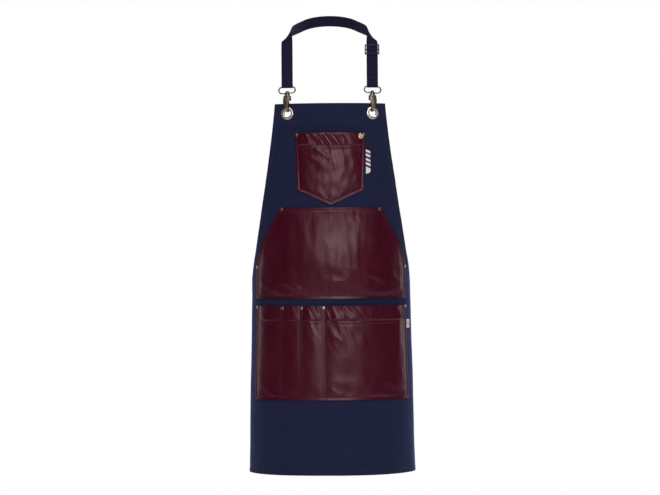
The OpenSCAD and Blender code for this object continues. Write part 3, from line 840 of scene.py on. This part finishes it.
brass = aged_metal("antique_brass", (0.13, 0.11, 0.085), (0.44, 0.39, 0.32), 0.42)
for node in ("chest_rivets", "hand_rivets", "tool_rivets"):
    finished_copy(node, "apron", brass, 0.0002)
stud_brass = aged_metal("stud_brass", (0.30, 0.20, 0.10), (0.80, 0.62, 0.40), 0.36)
finished_copy("chest_stud", "apron", stud_brass, 0.0002)
for word in ("left", "right"):
    low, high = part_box(word + "_eyelet")
    rim_brass = aged_metal(word + "_eyelet_brass", (0.24, 0.19, 0.13), (0.66, 0.56, 0.42), 0.45)
    from_middle = rim_brass.away_from((low + high) / 2)
    rim = rim_brass.ramp(from_middle * 50, (0.50, 0.0), (0.56, 1.0), (0.63, 1.0), (0.68, 0.0))
    plain = rim_brass.surface.inputs["Base Color"].links[0].from_socket
    rim_brass.feed("Base Color", rim_brass.blend(rim, Value(rim_brass, plain), (1.0, 0.92, 0.78)))
    finished_copy(word + "_eyelet", "apron", rim_brass, 0.0003)
    finished_copy(word + "_eyelet_washer", "apron", brass, 0.0001)

# ---------------------------------------------------------------------------
# Snap hooks: gunmetal-plated castings with a sprung gate. Each swivels on a
# rivet in the boss of a bent wire loop, and its claw goes through an eyelet.
# ---------------------------------------------------------------------------
gunmetal = aged_metal("gunmetal", (0.10, 0.085, 0.070), (0.32, 0.28, 0.23), 0.45, 0.52)
spring_steel = aged_metal("spring_steel", (0.22, 0.21, 0.19), (0.5, 0.48, 0.44), 0.35)
claw_metal = aged_metal("claw_metal", (0.16, 0.13, 0.10), (0.48, 0.41, 0.33), 0.48)
for word in ("left", "right"):
    finished_copy(word + "_wire_loop", word + "_loop", gunmetal, 0.0003)
    finished_copy(word + "_swivel_rivet", word + "_hook", gunmetal, 0.0003)
    finished_copy(word + "_hook_body", word + "_hook", claw_metal, 0.0007)
    finished_copy(word + "_gate", word + "_gate", gunmetal, 0.0002)
    finished_copy(word + "_gate_pin", word + "_hook", spring_steel, 0.0002)
    finished_copy(word + "_gate_spring", word + "_hook", spring_steel, 0.0001)

# ---------------------------------------------------------------------------
# Halter: 25 mm navy webbing. It stands on edge round the nape, turns flat over
# the shoulders and is folded and sewn round the wire loops. On the right it
# runs back up to a painted three-bar slide.
# ---------------------------------------------------------------------------
WEB_WIDTH = 0.025
WEB = 0.0016
NAPE_MIDDLE = 0.0708
NAPE_TILT = math.radians(25)
NAPE_HALF = math.radians(56)
EYE = 0.0023
loop_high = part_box("right_wire_loop")[1]
end_low, end_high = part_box("right_strap_end")
HOOK_X = (end_low.x + end_high.x) / 2
HOOK_Y = (end_low.y + end_high.y) / 2
FOLD_Z = loop_high.z - 0.0017
FRONT_DROP = 0.088
FRONT_TOP = FOLD_Z + FRONT_DROP


def webbing(name, dark, light):
    """Tightly woven tape: upright ribs crossed by a fine herringbone of picks."""
    finish = Finish(name, Roughness=0.82, Specular_IOR_Level=0.15, Sheen_Weight=0.12, Sheen_Roughness=0.4,
                    Sheen_Tint=(0.4, 0.45, 0.9, 1))
    flat = finish.place("UV")
    across = finish.part(flat, "X")
    along = finish.part(flat, "Y")
    ribs = (across * (2 * math.pi / 0.0021)).math("SINE")
    picks = (along * (2 * math.pi / 0.0016) + ribs * 1.4).math("SINE")
    threads = picks * 0.3 + ribs * 0.2 + 0.5
    finish.feed("Base Color", finish.blend(threads * 0.5 + finish.noise(flat, 45, 4) * 0.5, dark, light))
    finish.bump(threads, 0.0004, 0.5)
    return finish.material


web_cloth = webbing("navy_webbing", (0.0062, 0.0060, 0.022), (0.0130, 0.0125, 0.043))


def ribbon(name, centres, across, width, thickness, material, body):
    """A flat band along centres, standing across its run in the given directions."""
    centres = np.asarray(centres, float)
    across = np.broadcast_to(np.asarray(across, float), centres.shape)
    across = across / np.linalg.norm(across, axis=1, keepdims=True)
    run = np.concatenate([[0], np.cumsum(np.linalg.norm(np.diff(centres, axis=0), axis=1))])

    def shape(u, row):
        index = np.rint(row).astype(int)
        offset = (u * width / 2)[:, None]
        return centres[index] + offset * across[index], np.stack([u * width / 2, run[index]], -1)

    piece = sheet_grid(name, 8, np.arange(len(centres)), shape, material, body)
    thicken(piece, thickness, 0.0, min(0.00045, thickness * 0.3))
    return piece


back_dir = np.array([0, math.cos(NAPE_TILT), math.sin(NAPE_TILT)])
up_dir = np.array([0, -math.sin(NAPE_TILT), math.cos(NAPE_TILT)])
right_dir = np.array([1.0, 0, 0])
nape = [NAPE_MIDDLE * (math.sin(a) * right_dir + math.cos(a) * back_dir) for a in np.linspace(0, NAPE_HALF, 24)]
bend_along = math.cos(NAPE_HALF) * right_dir - math.sin(NAPE_HALF) * back_dir
bend_end = np.array([HOOK_X, HOOK_Y, FRONT_TOP])
bend = [nape[-1], nape[-1] + 0.055 * bend_along, bend_end + [0, 0, 0.035], bend_end]
half_centres = list(nape)
half_across = [up_dir] * len(nape)
for t in np.linspace(0, 1, 41)[1:]:
    r = 1 - t
    half_centres.append(r ** 3 * bend[0] + 3 * t * r * r * bend[1] + 3 * t * t * r * bend[2] + t ** 3 * bend[3])
    run_way = r * r * (bend[1] - bend[0]) + 2 * t * r * (bend[2] - bend[1]) + t * t * (bend[3] - bend[2])
    run_way /= np.linalg.norm(run_way)
    flatten = (1 - t * t) * up_dir - t * t * right_dir
    flatten = flatten - flatten @ run_way * run_way
    half_across.append(flatten / np.linalg.norm(flatten))
for drop in np.linspace(0, FRONT_DROP - 0.012, 16)[1:]:
    half_centres.append(bend_end - [0, 0, drop])
    half_across.append(-right_dir)
half_centres = np.array(half_centres)
half_across = np.array(half_across)
mirror = np.array([-1, 1, 1])
strap_centres = np.concatenate([half_centres[:0:-1] * mirror, half_centres])
strap_across = np.concatenate([half_across[:0:-1] * mirror, half_across])
strap = ribbon("halter_webbing", strap_centres, strap_across, WEB_WIDTH, WEB, web_cloth, "neck_strap")
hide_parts("neck_strap")

LAYER = 0.0011
END_TOP = FOLD_Z + 0.0215
for side, word in ((-1, "left"), (1, "right")):
    middle_x = side * HOOK_X
    spread_y = EYE + LAYER / 2
    flank = []
    for z in np.linspace(END_TOP, FOLD_Z + 0.009, 7):
        flank.append([middle_x, HOOK_Y - WEB / 2 - LAYER / 2 - 0.0001, z])
    for a in np.radians(np.linspace(20, 340, 33)):
        flank.append([middle_x, HOOK_Y - spread_y * math.sin(a), FOLD_Z + spread_y * math.cos(a)])
    for z in np.linspace(FOLD_Z + 0.009, END_TOP, 7):
        flank.append([middle_x, HOOK_Y + WEB / 2 + LAYER / 2 + 0.0001, z])
    end = ribbon(word + "_webbing_fold", flank, -right_dir, WEB_WIDTH, LAYER, web_cloth, "neck_strap")
    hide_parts(word + "_strap_end")
    rows = []
    front = HOOK_Y - WEB / 2 - LAYER - 0.0002
    for z in (END_TOP - 0.0025, FOLD_Z + 0.0095):
        rows.append((np.array([[middle_x + x, front, z] for x in np.linspace(-0.0105, 0.0105, 9)]), [0, -1.0, 0]))
    for x in (-0.0105, 0.0105):
        heights = np.linspace(FOLD_Z + 0.0095, END_TOP - 0.0025, 9)
        rows.append((np.array([[middle_x + x, front, z] for z in heights]), [0, -1.0, 0]))
    sew(word + "_webbing_seam", rows, navy_thread, "neck_strap")

slide_low, slide_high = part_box("strap_slider")
slide_middle = (slide_low.z + slide_high.z) / 2
return_foot = FOLD_Z + 0.0202
return_top = slide_middle - 0.0022
return_line = [[HOOK_X, HOOK_Y + WEB + 0.0003 + 0.0002 * math.sin(9 * t), z]
               for t, z in zip(np.linspace(0, 1, 20), np.linspace(return_foot, return_top, 20))]
strap_back = ribbon("webbing_return", return_line, -right_dir, WEB_WIDTH, WEB, web_cloth, "neck_strap")
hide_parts("strap_return")
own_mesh(strap_back)

slide_paint = Finish("slider_paint", Specular_IOR_Level=0.3)
chips = slide_paint.ramp(slide_paint.noise(slide_paint.place(), 420, 4), (0.60, 0.0), (0.68, 1.0))
slide_paint.feed("Base Color", slide_paint.blend(chips, (0.005, 0.006, 0.016), (0.022, 0.023, 0.036)))
slide_paint.feed("Roughness", slide_paint.noise(slide_paint.place(), 150, 2) * 0.25 + 0.4)
finished_copy("strap_slider", "slider", slide_paint, 0.0006)

# ---------------------------------------------------------------------------
# Waist ties: two lengths of the same webbing sewn inside the skirt's upper
# corners and tied in a bow behind the wearer, with their tails hanging.
# ---------------------------------------------------------------------------
TIE_Z = WAIST - 0.018
TIE_START = 0.298
tie_end = ring_run[-1] * taper(TIE_Z) - 0.004
tie_y = ring_y[-1] * taper(TIE_Z)


def tie_run(side):
    """The band from its seam inside the skirt to the knot."""
    s = np.linspace(TIE_START, tie_end, 60)
    slack = np.sin(np.pi * (s - TIE_START) / (tie_end - TIE_START)) * 0.003
    return wrap(side * s, TIE_Z - slack, -CLOTH / 2 - 0.001 - WEB / 2)


for side, word in ((-1, "left"), (1, "right")):
    band = tie_run(side)
    turned = np.radians(np.linspace(14, 346, 48))
    bow = np.stack([side * (0.007 + 0.038 * (1 - np.cos(turned))), tie_y + 0.006 * np.sin(turned),
                    TIE_Z - 0.018 * (1 - np.cos(turned))], -1)
    steps = np.linspace(0, 8, 50)
    tail = np.stack([side * (0.009 + 0.0034 * steps), tie_y + 0.003 + 0.002 * np.sin(np.radians(steps * 40)),
                     TIE_Z - 0.017 - 0.026 * steps], -1)
    pieces = ((word + "_tie_band", band, [0, 0, 1.0]),
              (word + "_bow_loop", bow, [side * math.sin(math.radians(20)), 0, math.cos(math.radians(20))]),
              (word + "_tie_tail", tail, [side * math.cos(math.radians(8)), 0, math.sin(math.radians(8))]))
    for name, line, across in pieces:
        tie = ribbon(name, line, across, WEB_WIDTH, WEB, web_cloth, "apron")
        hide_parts(word + "_waist_tie")
    sewn = [on_cloth(np.full(9, side * s), np.linspace(TIE_Z - 0.0105, TIE_Z + 0.0105, 9), CLOTH / 2 + 0.0003)
            for s in (0.300, 0.312)]
    sew(word + "_tie_seam", sewn, navy_thread)

bpy.ops.object.select_all(action="DESELECT")
bpy.ops.mesh.primitive_cube_add(size=1, location=(0, tie_y, TIE_Z - 0.002), scale=(0.020, 0.011, 0.021))
bpy.ops.object.transform_apply(location=True, scale=True)
knot = bpy.context.object
knot.name = "tie_wrap"
bpy.ops.object.mode_set(mode="EDIT")
bpy.ops.mesh.select_all(action="SELECT")
bpy.ops.mesh.bevel(offset=0.0032, segments=3)
bpy.ops.mesh.subdivide(number_cuts=3, smoothness=0.6)
bpy.ops.object.mode_set(mode="OBJECT")
for vertex in knot.data.vertices:
    x, y, z = vertex.co
    lean = x + (z - TIE_Z) * 0.35
    pinch = 1 - 0.16 * math.cos(lean * 420)
    vertex.co.y = tie_y + (y - tie_y) * pinch
    vertex.co.x = x * (0.96 + 0.05 * math.sin(z * 500))
bpy.ops.object.shade_smooth()
knot.data.materials.append(web_cloth)
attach(knot, "apron")
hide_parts("tie_knot")
